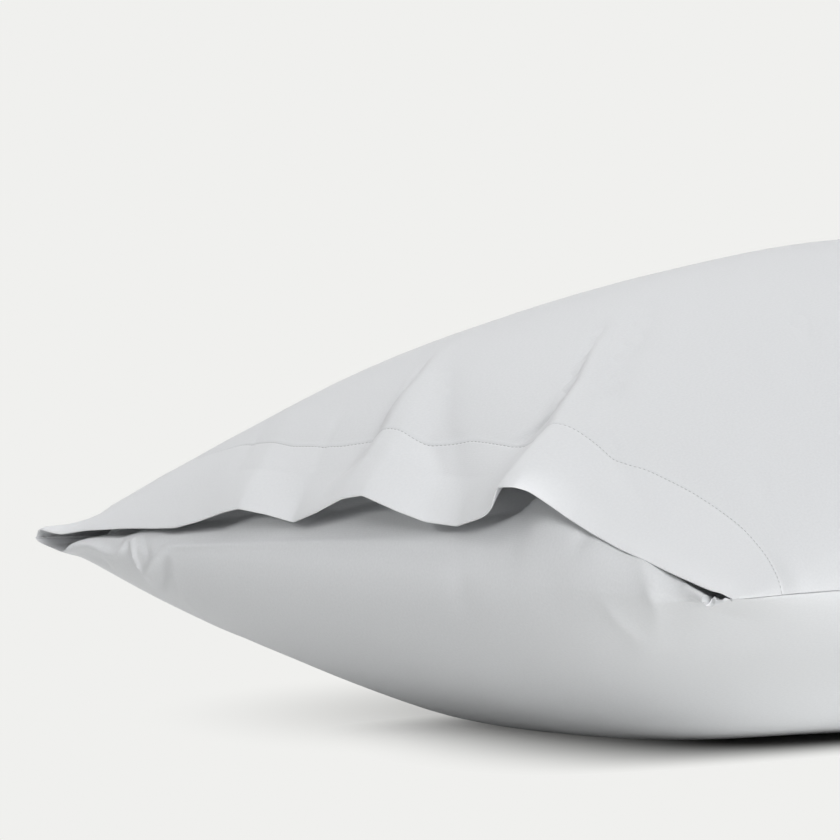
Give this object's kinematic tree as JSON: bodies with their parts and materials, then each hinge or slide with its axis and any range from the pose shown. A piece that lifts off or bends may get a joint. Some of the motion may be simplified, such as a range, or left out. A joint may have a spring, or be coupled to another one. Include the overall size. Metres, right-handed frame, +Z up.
{
  "type": "pillowcase on a pillow",
  "caption": "Plain envelope pillowcase, filled and lying on its back, with a deep stitched hem in loose waves over the wrapped end.",
  "frame": {"origin": "middle of the bounding box, at its lowest level, on the flat patch on which the case lies", "axes": "+X from the open, hemmed end to the sewn end, along the length; +Y from the near long side to the far one; +Z up out of the front panel's crown"},
  "size_m": [0.7266, 0.4576, 0.2126],
  "materials": {
    "back_panel": "light cool-grey cotton sateen, fine close weave, soft low sheen",
    "front_panel": "light cool-grey cotton sateen, fine close weave, soft low sheen, tone-on-tone hem stitching"
  },
  "bodies": {
    "root": {"back_panel_filled": "back_panel", "front_panel": "front_panel"}
  },
  "joints": []
}
